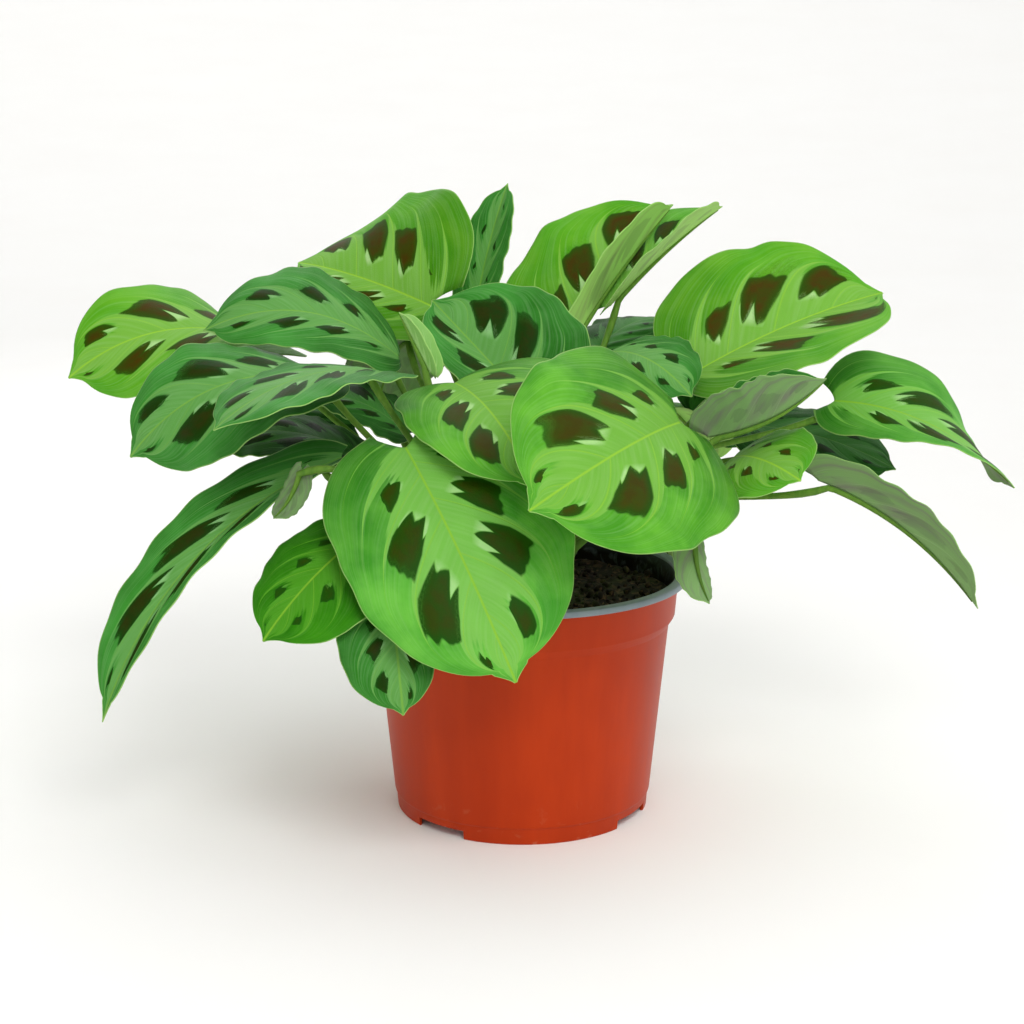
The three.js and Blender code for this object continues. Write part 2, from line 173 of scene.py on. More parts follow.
camera = bpy.data.objects.new("camera", bpy.data.cameras.new("camera"))
bpy.context.scene.collection.objects.link(camera)
camera.location = Vector(CAMERA_PLACE) * MM
camera.rotation_euler = (math.pi / 2 - CAMERA_DOWN, 0, CAMERA_TURN)
camera.data.lens = LENS
camera.data.sensor_width = 36
camera.data.clip_start = 0.01
bpy.context.scene.camera = camera
print("camera", round(camera.location.length / MM), "mm from the pot's foot")

# %% [markdown]
# ## Floor and light
#
# The photograph has a plain pale ground with no horizon, and soft light with almost no shadow. A photo
# studio gets that from a cove, a white floor that rises in a long curve all round, so a section is spun
# for one here. Most of the light comes from white walls all round, which the world stands for. It falls
# off towards the far left, as if a black card stood there, and that gives the pot its round look. The
# main lamp stands high in front, a little to the right, one behind lights the rims of the leaves, and one
# shines on the wall, which keeps it white. All are large, because a large lamp gives soft shadows. The
# Standard view keeps the colours as set.

# %% Floor
COVE = [(0, 0), (1400, 0), (1700, 40), (2000, 150), (2300, 340), (2600, 620), (2900, 1000), (3100, 1400)]
bpy.context.scene.view_settings.view_transform = "Standard"

floor = spun(COVE, 96)
bpy.ops.object.shade_smooth()
floor.name = "floor"
floor_paper, output = new_material("matt paper")
tree = floor_paper.node_tree
fibres = add(tree, "TexNoise", ("Scale", 60.0), ("Detail", 3.0))
tone = add(tree, "ValToRGB", (0, fibres))
tone.color_ramp.elements[0].color = colour("#F8F7F5")
tone.color_ramp.elements[1].color = colour("#FBFBFA")
surface = add(tree, "BsdfPrincipled", ("Base Color", tone), ("Roughness", 0.9))
tree.links.new(surface.outputs[0], output.inputs[0])
floor.data.materials.append(floor_paper)
print("floor faces:", len(floor.data.polygons))

# %% Light from the walls
world = bpy.data.worlds.new("studio")
world.use_nodes = True
sky = world.node_tree.nodes["Background"]
sky.inputs["Color"].default_value = colour("#FCFCFB")
direction = add(world.node_tree, "SeparateXYZ", (0, add(world.node_tree, "TexCoord").outputs["Generated"]))
walls = add(world.node_tree, "MapRange", (0, direction.outputs[0]), (1, -0.85), (2, 0.15),
            (3, 0.06), (4, 1.15))
world.node_tree.links.new(walls.outputs[0], sky.inputs["Strength"])
bpy.context.scene.world = world
print("world nodes:", len(world.node_tree.nodes))


# %% Lamps
def lamp(name, place, size, watts, target=(0, 0, 110)):
    """A square soft lamp at a place, turned to its target."""
    light = bpy.data.objects.new(name, bpy.data.lights.new(name, "AREA"))
    bpy.context.scene.collection.objects.link(light)
    light.location = Vector(place) * MM
    light.rotation_euler = (Vector(target) - Vector(place)).to_track_quat("-Z", "Y").to_euler()
    light.data.size = size * MM
    light.data.energy = watts


lamp("key", place=(220, -860, 900), size=500, watts=6)
lamp("rim", place=(-250, 800, 800), size=700, watts=2)
lamp("wall", place=(300, 1300, 1500), size=1600, watts=6, target=(300, 3000, 700))

# %% [markdown]
# ## The pot
#
# A grower's pot is injection moulded in one shot from thin polypropylene: a foot ring with four notches
# that let water out, a body that narrows downwards so that pots stack, a collar, and a lip that stiffens
# the rim. It could be built from stacked cylinders, but a moulding has one wall that runs on from part to
# part. So one vertex is extruded along the wall's section, out of the floor, up the outside, over the lip
# and back down the inside, and the section is spun about the upright axis. The wall's seam and its two
# poles are then merged.

# %% Wall of the pot
POT_STEPS = 160
POT_SECTION = [
    (0, 3.4), (44.6, 3.4), (45, 3.1), (45, 0.3), (45.3, 0), (45.9, 0), (46.2, 0.3),
    (46.6, 5.6), (46.8, 6), (47.1, 6.3), (47.25, 6.9),
    (53.4, 69.5), (53.6, 70), (55.4, 72.8), (55.6, 73.3),
    (56.6, 85.2), (56.9, 85.6), (59.5, 85.6), (59.9, 85.8), (60, 86.2),
    (60, 87.2), (59.8, 87.7), (59.3, 88), (57, 88), (56, 87.7), (55.5, 87),
    (54.4, 73.5), (52.2, 70.2), (46, 6.6), (45.4, 5.4), (44.4, 5), (0, 5),
]

pot = spun(POT_SECTION, POT_STEPS)
print("faces of the spun wall:", len(pot.data.polygons))

# %% Notches and drain holes
NOTCH_TURNS = (-39.5, 60.5, 140.5, 240.5)
NOTCH_SIZE = (20.9, 14, 6.6)
FOOT_CIRCLE = 45.6
DRAIN_COUNT = 8
DRAIN_CIRCLE = 33
DRAIN_RADIUS = 3
FLOOR_MIDDLE = 4.2


def cut_away(piece, cutters):
    """Joins the cutters, takes them out of the piece and deletes them."""
    cutter = join(cutters)
    cut = piece.modifiers.new("cut", "BOOLEAN")
    cut.object = cutter
    cut.solver = "EXACT"
    apply_modifiers(piece)
    bpy.data.objects.remove(cutter)


cutters = []
for turn in NOTCH_TURNS:
    angle = math.radians(turn - 90)
    place = Vector((math.cos(angle), math.sin(angle), 0)) * FOOT_CIRCLE * MM
    facing = (0, 0, angle + math.pi / 2)
    notch = start(bpy.ops.mesh.primitive_cube_add, size=MM, location=place, rotation=facing)
    notch.scale = NOTCH_SIZE
    cutters.append(notch)
for i in range(DRAIN_COUNT):
    angle = 2 * math.pi * i / DRAIN_COUNT
    place = Vector((math.cos(angle), math.sin(angle), 0)) * DRAIN_CIRCLE * MM
    place.z = FLOOR_MIDDLE * MM
    drain = start(bpy.ops.mesh.primitive_cylinder_add, vertices=24, radius=DRAIN_RADIUS * MM,
                  depth=8 * MM, location=place)
    cutters.append(drain)
cut_away(pot, cutters)
print("faces with the holes cut:", len(pot.data.polygons))

# %% [markdown]
# The photograph's pot is terracotta outside, and its lip and inside are blue-grey, as where two plastics
# are moulded together. Polypropylene is soft and waxy: its IOR is 1.49 and it gives a broad, quiet shine,
# so the roughness is about 0.4. The mould leaves faint upright flow streaks, and handling leaves pale
# scuffs near the foot. The inside wall is a darker blue-grey than the lip, with near-black brown patches
# that thicken from the lip down to 83 mm. Object coordinates are in metres, so a noise of scale 90 makes
# streaks about 11 mm wide, which are stretched upwards eight times, one of 160 makes scuffs of about 6
# mm, and one of 900 a grain of 1 mm.


# %% Pot plastic
def moulded_plastic(name, body, shade, scuff, clean_at, worn_at, bare=0.62, gloss=0.15):
    """Moulded polypropylene: a waxy colour with flow streaks, and marks of a second colour between two
    heights.
    """
    material, output = new_material(name)
    tree = material.node_tree
    place = add(tree, "TexCoord").outputs["Object"]
    flow = add(tree, "Mapping", (0, place), ("Scale", (1.0, 1.0, 0.12)))
    streaks = add(tree, "TexNoise", (0, flow), ("Scale", 90.0), ("Detail", 4.0), ("Roughness", 0.6))
    cloud = add(tree, "TexNoise", (0, place), ("Scale", 22.0), ("Detail", 2.0))
    blend = add(tree, "Math", (0, streaks), (1, cloud), operation="MULTIPLY")
    amount = add(tree, "MapRange", (0, blend), (1, 0.15), (2, 0.4))
    tone = add(tree, "MixRGB", (0, amount), (1, colour(shade)), (2, colour(body)))
    height = add(tree, "SeparateXYZ", (0, place))
    low = add(tree, "MapRange", (0, height.outputs[2]), (1, clean_at), (2, worn_at))
    scratch = add(tree, "TexNoise", (0, place), ("Scale", 160.0), ("Detail", 6.0), ("Distortion", 1.5))
    worn = add(tree, "MapRange", (0, scratch), (1, bare), (2, bare + 0.18))
    wear = add(tree, "Math", (0, worn), (1, low), operation="MULTIPLY")
    finish = add(tree, "MixRGB", (0, wear), (1, tone), (2, colour(scuff)))
    polish = add(tree, "MapRange", (0, streaks), (3, 0.36), (4, 0.48))
    grain = add(tree, "TexNoise", (0, place), ("Scale", 900.0), ("Detail", 2.0))
    relief = add(tree, "Bump", ("Height", grain), ("Strength", 0.06), ("Distance", 0.0002))
    surface = add(tree, "BsdfPrincipled", ("Base Color", finish), ("Roughness", polish), ("Normal", relief))
    surface.inputs["IOR"].default_value = 1.49
    surface.inputs["Specular IOR Level"].default_value = gloss
    tree.links.new(surface.outputs[0], output.inputs[0])
    return material


terracotta = moulded_plastic("terracotta polypropylene", "#B83808", "#A83006", "#BC6A4E", 0.018, 0.0)
blue_grey = moulded_plastic("blue-grey polypropylene", "#87939A", "#74828A", "#9CA7AB", 0.001, 0.0,
                            gloss=0.5)
# The inside wall: a darker blue-grey than the lip, with near-black brown patches towards the soil.
dark_inside = moulded_plastic("darker inside blue-grey polypropylene", "#5C666A", "#464E51", "#17110C", 0.0885, 0.083,
                         bare=0.3)
print("plastics:", [m.name for m in (terracotta, blue_grey, dark_inside)])

# %% Where each plastic shows
LIP_UNDERSIDE = 85.3
INSIDE = (4.9, 86)

pot.data.materials.append(terracotta)
pot.data.materials.append(blue_grey)
pot.data.materials.append(dark_inside)
for face in pot.data.polygons:
    high = face.center.z / MM > LIP_UNDERSIDE
    inward = face.normal.x * face.center.x + face.normal.y * face.center.y < 0
    inside = inward and INSIDE[0] < face.center.z / MM < INSIDE[1]
    face.material_index = 2 if inside else 1 if high else 0
round_over = pot.modifiers.new("soft edges", "BEVEL")
round_over.width = 0.15 * MM
round_over.segments = 2
round_over.angle_limit = math.radians(40)
apply_modifiers(pot)
select(pot)
bpy.ops.object.shade_smooth_by_angle(angle=math.radians(35))
print("pot faces:", finish_piece(pot, "plastic_pot", "pot"))

# %% [markdown]
# ## The soil
#
# Potting compost is peat and bark fibre: nearly black when moist, with crumbs from under 1 mm to about 5
# mm. A flat disc with a bump texture looks like cloth from this near, so the top is a real relief. A
# section is spun like the pot's, a noise raises and lowers the points of its top, and loose crumbs lie on
# it. One crumb is an icosphere that is pushed about by noise, and each copy gets its own size, turn and
# place.

# %% Soil
SOIL_TOP = 79
SOIL_STEPS = 120
SOIL_RADIUS = 54


def soil_height(x, y):
    """The height of the compost's top in mm at a place in mm: slow swells with lumps on them."""
    swell = noise.noise(Vector((x, y, 0)) * 0.045)
    lumps = noise.fractal(Vector((x, y, 7)) * 0.22, 0.6, 2.2, 4)
    return SOIL_TOP + 1.2 * swell + 0.9 * lumps


top_rings = [(SOIL_RADIUS * i / 56, SOIL_TOP) for i in range(55, -1, -1)]
soil = spun([(0, 5.4), (43, 5.4), (45.9, 9.4), (51.8, 70.7), (SOIL_RADIUS, 74.5), (SOIL_RADIUS, SOIL_TOP)]
            + top_rings, SOIL_STEPS)
for vertex in soil.data.vertices:
    if vertex.co.z > (SOIL_TOP - 0.1) * MM:
        vertex.co.z = soil_height(vertex.co.x / MM, vertex.co.y / MM) * MM
print("faces of the bare soil:", len(soil.data.polygons))

# %% Crumbs
CRUMBS = 620
CRUMB_CIRCLE = 52.5
CRUMB_SIZES = (0.5, 2.3)

random.seed(4)
crumb = start(bpy.ops.mesh.primitive_ico_sphere_add, subdivisions=2, radius=1)
for vertex in crumb.data.vertices:
    vertex.co *= 0.85 + 0.35 * noise.noise(vertex.co * 1.7)
crumbs = []
for i in range(CRUMBS):
    turn = random.uniform(0, 2 * math.pi)
    reach = CRUMB_CIRCLE * math.sqrt(random.random())
    size = random.uniform(*CRUMB_SIZES) * random.uniform(0.5, 1)
    x = reach * math.cos(turn)
    y = reach * math.sin(turn)
    lump = crumb.copy()
    lump.data = crumb.data.copy()
    bpy.context.scene.collection.objects.link(lump)
    shape = (random.uniform(0.7, 1.3), random.uniform(0.7, 1.1), random.uniform(0.6, 1))
    lump.scale = Vector(shape) * size * MM
    lump.rotation_euler = [random.uniform(0, 6.28) for _ in range(3)]
    lump.location = Vector((x, y, soil_height(x, y) + 0.35 * size)) * MM
    crumbs.append(lump)
bpy.data.objects.remove(crumb)
soil = join([soil] + crumbs)
print("crumbs:", len(crumbs))

# %% [markdown]
# Moist peat has no gloss at all, so its roughness is near 1. Its colour jumps from crumb to crumb,
# between near-black peat and brown bark, which a Voronoi texture gives in cells of about 1.5 mm. A film
# of moss has begun to grow on it in patches of about 14 mm.

# %% Soil finish
compost, output = new_material("moist peat compost")
tree = compost.node_tree
place = add(tree, "TexCoord").outputs["Object"]
cells = add(tree, "TexVoronoi", ("Vector", place), ("Scale", 650.0), ("Randomness", 1.0))
grey = add(tree, "RGBToBW", (0, cells.outputs["Color"]))
peat = add(tree, "ValToRGB", (0, grey))
peat.color_ramp.elements[0].color = colour("#120C08")
peat.color_ramp.elements[1].color = colour("#6E543A")
peat.color_ramp.elements.new(0.62).color = colour("#2A1C12")
patches = add(tree, "TexNoise", ("Vector", place), ("Scale", 70.0), ("Detail", 3.0))
mossy = add(tree, "MapRange", (0, patches), (1, 0.5), (2, 0.68), (4, 0.55))
peat = add(tree, "MixRGB", (0, mossy), (1, peat), (2, colour("#4C5626")))
fibres = add(tree, "TexNoise", ("Vector", place), ("Scale", 1400.0), ("Detail", 5.0))
relief = add(tree, "Bump", ("Height", fibres), ("Strength", 0.8), ("Distance", 0.0006))
surface = add(tree, "BsdfPrincipled", ("Base Color", peat), ("Roughness", 0.95), ("Normal", relief))
tree.links.new(surface.outputs[0], output.inputs[0])

soil.data.materials.clear()
soil.data.materials.append(compost)
bpy.ops.object.shade_smooth()
print("soil faces:", finish_piece(soil, "compost", "soil"))

# %% [markdown]
# ## The leaves: where each one is
#
# A prayer plant's leaf is one flat oval blade on a thin stalk. Each row says where the stalk stands in
# the soil, where the blade begins and ends, and how wide its two halves are. The rest bends it: `roll`
# turns it about its midrib, `twist` turns it along its length, `bow` arches it, `lift` and `curl` raise
# and bend its halves, `lobe` is how far its base reaches back past the stalk, and `level` is how far the
# stalk leans over before it meets the blade. These are the measured model's own values. `SPRUNG` holds
# the two that an evenly arched leaf shares with others.
#
# Four more values only paint the leaf. `kind` names its age, or marks a leaf deep inside the plant whose
# skin is darkened as painted shade, `spots` sets how large its blotches are, `cells` how many fit along a
# half, and `start` shifts them along the left and right half by a share of their distance.


# %% Leaf table
def leaf(name, foot, base, to, half, **shape):
    """One leaf's row: what it leaves out takes the usual value."""
    usual = dict(roll=0, twist=0, bow=4, lift=(5, 5), curl=(20, 20), lobe=0.12, level=0.4)
    look = dict(kind="grown", spots=1.0, cells=4.6, start=(0.3, 0.7))
    place = dict(name=name, foot=foot, base=base, to=to, half=half)
    return {**usual, **look, **place, **shape}


SPRUNG = dict(lift=(8, 8), curl=(25, 25))
LEAVES = [
    leaf("front_large", foot=(-17, -24), base=(-39, -48, 142), to=(-2, -95, 75), half=(39, 37), roll=28,
         bow=8, **SPRUNG, kind="ripe", cells=4.9, start=(0.55, 0.15)),
    leaf("front_round", foot=(12, -30), base=(54, -28, 147), to=(2, -105, 133), half=(40, 40), roll=-45,
         bow=8, lift=(10, 10), curl=(25, 25), lobe=0.16, kind="fresh", cells=4.8, start=(0.3, 0.25),
         level=0.6),
    leaf("centre", foot=(-10, -3), base=(-24, -5, 157), to=(4, -72, 133), half=(37, 29), bow=6,
         lift=(28, 5), curl=(25, 25), lobe=0.06, kind="fresh", cells=4.6, start=(0.3, 0.1), spots=1.1),
    leaf("centre_back", foot=(2, 0), base=(4, 6, 146), to=(-34, 42, 181), half=(20, 36), roll=-44, bow=0,
         lift=(45, 0), curl=(10, 10), lobe=0.06, cells=4.2, start=(0.2, 0.4), spots=1.15),
    leaf("furled", foot=(-14, 4), base=(-33, 0, 160), to=(-44, 5, 181), half=(5, 7), lift=(75, 50),
         curl=(1, 1), bow=0, kind="furled", spots=0.0),
    leaf("left_mid", foot=(-22, -10), base=(-49, -30, 165), to=(-99, -72, 152), half=(27, 25), roll=-2,
         bow=7, lift=(8, 2), curl=(12, 12), spots=0.85, cells=5.0, start=(0.2, 0.6)),
    leaf("left_lower", foot=(-30, 4), base=(-66, -4, 159), to=(-138, -14, 132), half=(32, 30), roll=-30,
         bow=15, twist=55, lobe=0.02, spots=0.95),
    leaf("left_upper", foot=(-21, 9), base=(-46, 32, 161), to=(-118, 30, 171), half=(20, 31), roll=-30,
         bow=15, lift=(8, 5), curl=(25, 20), twist=20, spots=0.7, cells=5.2, lobe=0.02),
    leaf("left_far", foot=(-38, 18), base=(-94, 60, 162), to=(-174, 52, 150), half=(29, 34), roll=-30,
         bow=15, twist=70, kind="young"),
    leaf("top_left", foot=(-12, 19), base=(-35, 52, 178), to=(-90, 96, 190), half=(20, 46), roll=-50,
         bow=5, lift=(15, 5), twist=-40, kind="young", spots=1.2),
    leaf("top_right", foot=(5, 15), base=(18, 54, 162), to=(60, 98, 213), half=(38, 18), bow=2,
         lift=(30, 75), curl=(10, 10), kind="young", cells=4.0, spots=1.2),
    leaf("top_right_back", foot=(12, 24), base=(34, 68, 176), to=(80, 102, 212), half=(25, 22), bow=2,
         lift=(20, 45), curl=(10, 10), kind="fresh"),
    leaf("top_spike", foot=(-7, 29), base=(-19, 86, 170), to=(-6, 105, 221), half=(12, 12), bow=2,
         lift=(20, 20), curl=(10, 10), spots=0.2),
    leaf("right_top", foot=(0, 8), base=(65, 26, 157), to=(136, 50, 183), half=(40, 38), roll=35,
         lift=(15, 32), curl=(10, 10), kind="young", cells=4.2, start=(0.2, 0.5), level=0.8, spots=1.35),
    leaf("right_far", foot=(8, -20), base=(115, 24, 146), to=(175, -8, 120), half=(33, 17), bow=8,
         twist=85, kind="ripe", spots=1.15, roll=8, lobe=0.1, level=0.6),
    leaf("right_trailing", foot=(14, 0), base=(104, -14, 124), to=(155, -46, 86), half=(8, 14), bow=6,
         lift=(75, 75), curl=(10, 10), level=0.6),
    leaf("right_pale", foot=(14, -12), base=(65, -12, 139), to=(104, -26, 162), half=(17, 17), bow=-4,
         lift=(70, 70), curl=(10, 10), level=0.6),
    leaf("right_small", foot=(4, -12), base=(76, 2, 129), to=(95, -35, 128), half=(21, 21), roll=30,
         kind="young", spots=0.45, level=1),
    leaf("right_behind", foot=(4, 42), base=(88, 45, 133), to=(140, 30, 119), half=(23, 23), roll=20,
         kind="painted_shade", spots=0.4, level=1),
    leaf("right_mid", foot=(10, -6), base=(64, 30, 141), to=(98, 40, 149), half=(20, 20), lift=(30, 30),
         curl=(10, 10), lobe=0.04, kind="painted_shade", spots=0.7, level=0.6),
    leaf("centre_right", foot=(12, 8), base=(32, 24, 164), to=(60, -4, 152), half=(20, 18), roll=20,
         bow=6, lobe=0.02, spots=0.55, cells=4.8),
    leaf("right_high", foot=(14, 31), base=(30, 68, 160), to=(58, 92, 168), half=(23, 23), kind="painted_shade",
         spots=0.3),
    leaf("left_long", foot=(-29, -9), base=(-63, -20, 133), to=(-143, -55, 48), half=(9, 17), roll=-15,
         bow=17, lift=(15, 35), curl=(10, 15), twist=15, lobe=0.04, cells=5.6),
    leaf("left_behind", foot=(-27, 12), base=(-63, 20, 128), to=(-116, 26, 130), half=(23, 23), roll=-10,
         bow=6, kind="painted_shade"),
    leaf("left_inner", foot=(-24, 1), base=(-42, 15, 135), to=(-80, 20, 149), half=(15, 24), roll=-10,
         bow=5, lobe=0.04, kind="painted_shade"),
    leaf("left_droop", foot=(-30, -20), base=(-74, -45, 134), to=(-83, -54, 119), half=(5, 5),
         lift=(20, 20), curl=(10, 10), roll=150, level=0.55),
    leaf("low_left", foot=(-24, -27), base=(-51, -54, 115), to=(-84, -80, 84), half=(26, 21), roll=-20,
         lobe=0.04, kind="deep", spots=0.5, cells=5.4),
    leaf("low_front", foot=(-17, -34), base=(-43, -72, 100), to=(-38, -92, 63), half=(13, 19), roll=10,
         bow=3, lobe=0.04, spots=0.7, cells=5.0),
    leaf("rim_right", foot=(8, -36), base=(56, -64, 115), to=(61, -73, 95), half=(8, 7), bow=2,
         lift=(20, 20), curl=(10, 10), kind="ripe", spots=0.0, roll=170, level=0.8),
    leaf("back_centre", foot=(1, 26), base=(4, 72, 144), to=(8, 105, 104), half=(22, 22), bow=5,
         **SPRUNG, kind="ripe"),
    leaf("back_left", foot=(-14, 27), base=(-43, 60, 164), to=(-60, 104, 128), half=(19, 22), roll=5,
         bow=8, **SPRUNG, kind="painted_shade", spots=0.5),
    leaf("back_far_left", foot=(-24, 20), base=(-66, 60, 132), to=(-112, 88, 133), half=(18, 20),
         roll=-15, bow=8, **SPRUNG, kind="painted_shade", spots=0.5),
    leaf("back_right", foot=(8, 36), base=(48, 66, 138), to=(76, 102, 106), half=(24, 24), roll=-5, bow=8,
         **SPRUNG, kind="fresh"),
    leaf("back_low", foot=(-2, 36), base=(-6, 62, 108), to=(-12, 90, 66), half=(21, 21), bow=6,
         **SPRUNG, kind="young"),
    leaf("back_low_right", foot=(14, 40), base=(38, 60, 108), to=(60, 86, 70), half=(20, 20), bow=6,
         **SPRUNG, level=0.6),
    leaf("back_low_left", foot=(-20, 34), base=(-42, 58, 108), to=(-68, 84, 72), half=(20, 20), bow=6,
         **SPRUNG),
    leaf("back_far_right", foot=(14, 16), base=(88, 58, 122), to=(134, 84, 100), half=(22, 22), bow=6,
         **SPRUNG, level=0.6),
]
print(len(LEAVES), "leaves; the longest is",
      round(max((Vector(row["to"]) - Vector(row["base"])).length for row in LEAVES)), "mm")

# %% [markdown]
# ## The form of a blade
#
# A blade could be cut from a plane by eye, but 37 of them have to meet the measured model within a hair,
# so the same rule that made the solids places each point here, only on a much finer grid. `u` runs from
# the base to the tip and `v` from the left margin to the right one. The outline is a round-based oval
# with a short drawn-out point. The halves bend down from the midrib, and the margins wave a little, as a
# thin blade's always do.

# %% Blade form
POINT_STARTS = 0.95
WAVE_SHARE = 0.03
RIPPLES = 2.5
RUFFLE = 0.01
RUFFLE_TURNS = (17, 31)
CRINKLES = 6.5
VEIN_UNEVENNESS = 0.2
QUILT = {"young": 0.15, "fresh": 0.15, "ripe": 0.2, "grown": 0.35, "painted_shade": 0.35, "deep": 0.2, "furled": 0}


def outline(u):
    """Half the blade's width as a share of its greatest."""
    body = np.minimum(u / POINT_STARTS, 1)
    oval = np.sqrt(np.maximum(0, 1 - np.abs(2 * body**0.75 - 1) ** 2.6))
    point = 0.15 * np.minimum(1, (1 - u) / (1 - POINT_STARTS)) ** 1.3 + 0.012
    return np.maximum(oval, np.where(u < 0.5, 0.25, point))


def unit(vectors):
    return vectors / np.linalg.norm(vectors, axis=-1, keepdims=True)


def midrib(row, u):
    """Points of the midrib, its direction there, and the direction out of the upper face."""
    base = np.array(row["base"], float)
    along = np.array(row["to"], float) - base
    length = np.linalg.norm(along)
    along /= length
    up = unit(np.array([0, 0, 1]) - along * along[2])
    roll = math.radians(row["roll"])
    up = up * math.cos(roll) + np.cross(along, up) * math.sin(roll)
    u = np.asarray(u, float)[:, None]
    points = base + along * length * u + up * row["bow"] * 4 * u * (1 - u)
    tangent = unit(along * length + up * row["bow"] * 4 * (1 - 2 * u))
    normal = unit(up - tangent * (tangent @ up)[:, None])
    twist = np.radians(row["twist"] * (0.5 - u))
    normal = normal * np.cos(twist) + np.cross(tangent, normal) * np.sin(twist)
    return points, tangent, normal, length


def vein_place(row, u, reach, side):
    """Counts the side veins that leave the midrib before a point. They sweep on towards the tip near the
    margin, so a point far out belongs to a vein that left the midrib much lower down."""
    left_at = u - (0.3 + 0.25 * u) * reach - 0.35 * reach**6
    uneven = VEIN_UNEVENNESS * np.sin(2 * np.pi * left_at)
    return row["cells"] * left_at + uneven + np.where(side == 0, *row["start"]), left_at


def blade_surface(row, u, v):
    """Points of the blade's middle surface in mm."""
    points, tangent, normal, length = midrib(row, u)
    across = np.cross(tangent, normal)
    side = np.where(v < 0, 0, 1)
    reach = np.abs(v)
    half = np.array(row["half"], float)[side] * outline(u)
    lift = np.radians(np.array(row["lift"], float)[side])
    curl = np.radians(np.array(row["curl"], float)[side])
    long_turn, short_turn = RUFFLE_TURNS
    ruffles = np.sin(long_turn * u + row["base"][0]) + np.sin(short_turn * u + row["base"][1])
    ruffle = 1 + RUFFLE * reach**2 * ruffles
    out = half * ruffle * (np.sin(lift) - np.sin(lift - curl * reach)) / curl
    rise = half * (np.cos(lift - curl * reach) - np.cos(lift)) / curl
    lobe = row["lobe"] * length * reach**1.5 * np.maximum(0, 1 - u / 0.35) ** 2
    phase = 2 * np.pi * RIPPLES * u + 2 * side + row["base"][0]
    crinkle = QUILT[row["kind"]] * 1.5 * reach**4 * np.sin(2 * np.pi * CRINKLES * u + row["base"][1])
    wave = WAVE_SHARE * half * reach**2 * np.sin(phase) + crinkle * outline(u)
    veins, _ = vein_place(row, u, reach, side)
    arch = np.sin(np.pi * np.minimum(reach * 1.3, 1)) * outline(u)
    quilt = -QUILT[row["kind"]] * arch * np.cos(2 * np.pi * veins)
    lift_by = (rise + wave + quilt)[:, None]
    places = points + across * (np.sign(v) * out)[:, None] + normal * lift_by - tangent * lobe[:, None]
    return places, half * reach, half * (1 - reach)


shares = np.linspace(0, 1, 101)
print("a blade is widest at", round(float(shares[np.argmax(outline(shares))]), 2), "of its length")

# %% [markdown]
# ## The pattern of the leaves
#
# The blotches are what this plant is known for. Between each two side veins lies one, narrow towards the
# midrib, where pale teeth cut into it, and broad outwards. Around the midrib runs a pale feathered zone
# that reaches out along the veins. It could be painted by hand on each leaf, but then no two sides would
# be as sharp. Instead each corner of the mesh knows how many veins it has passed and how far out it lies,
# and one group of nodes turns these numbers into the pattern:
#
# - `fraction` of the vein count is 0 and 1 on the veins and 0.5 halfway between them;
# - `length` is 0 at the inner end of the blotch and 1 at its outer end, and its slant sets both ends
#   square to the veins, which leave the midrib at about 45 degrees;
# - `tooth` shifts the inner end, and a stretched noise frays the outer end a little.
#
# The smallest of the distances to the three borders tells how deep a point lies in its blotch. The pale
# zone ends where `reach` passes a line that runs out along each vein and carries a comb of small barbs.
# `ribbing` is a noise that is stretched along the veins, for the fine veins between them.

# %% Pattern nodes
INNER_END = 0.16
SMALL_INNER_END = 0.32
BLOTCH_LENGTH = 0.42
SLANT = 0.22

pattern = bpy.data.node_groups.new("blotches and veins", "ShaderNodeTree")
for socket in ("blotch", "depth", "tooth", "pale", "vein", "ribbing", "rib", "margin", "chance"):
    pattern.interface.new_socket(name=socket, in_out="OUTPUT", socket_type="NodeSocketFloat")
tree = pattern
veins = add(tree, "SeparateXYZ", (0, add(tree, "Attribute", attribute_name="veins").outputs["Vector"]))
count, reach, half_leaf = veins.outputs
sheet = add(tree, "SeparateXYZ", (0, add(tree, "Attribute", attribute_name="sheet").outputs["Vector"]))
across, along, edge = sheet.outputs
spots = add(tree, "Attribute", attribute_name="spots").outputs["Fac"]

cell = add(tree, "Math", (0, count), operation="FLOOR")
fraction = add(tree, "Math", (0, count), operation="FRACT")
offset = add(tree, "Math", (0, fraction), (1, 0.5), operation="SUBTRACT")
side_way = add(tree, "Math", (0, offset), operation="ABSOLUTE")
away = add(tree, "Math", (0, side_way), (1, 2.0), operation="MULTIPLY")
own_place = add(tree, "CombineXYZ", (0, cell), (1, half_leaf))
chance = add(tree, "TexWhiteNoise", (0, own_place), noise_dimensions="3D")
draw = add(tree, "SeparateXYZ", (0, chance.outputs["Color"]))

luck = add(tree, "MapRange", (0, draw.outputs[0]), (3, 0.75), (4, 1.1))
size = add(tree, "Math", (0, spots), (1, luck), operation="MULTIPLY")
inner = add(tree, "MapRange", (0, size), (3, SMALL_INNER_END), (4, INNER_END))
span = add(tree, "Math", (0, size), (1, BLOTCH_LENGTH), operation="MULTIPLY")
outer = add(tree, "Math", (0, inner), (1, span), operation="ADD")
slanted = add(tree, "Math", (0, offset), (1, SLANT), operation="MULTIPLY")
out_along = add(tree, "Math", (0, reach), (1, slanted), operation="ADD")
length = add(tree, "MapRange", (0, out_along), (1, inner), (2, outer), clamp=False)
print("a full blotch reaches from", INNER_END, "to", round(INNER_END + BLOTCH_LENGTH, 2), "of the way out")

# %% Teeth and frayed ends
TEETH = 3

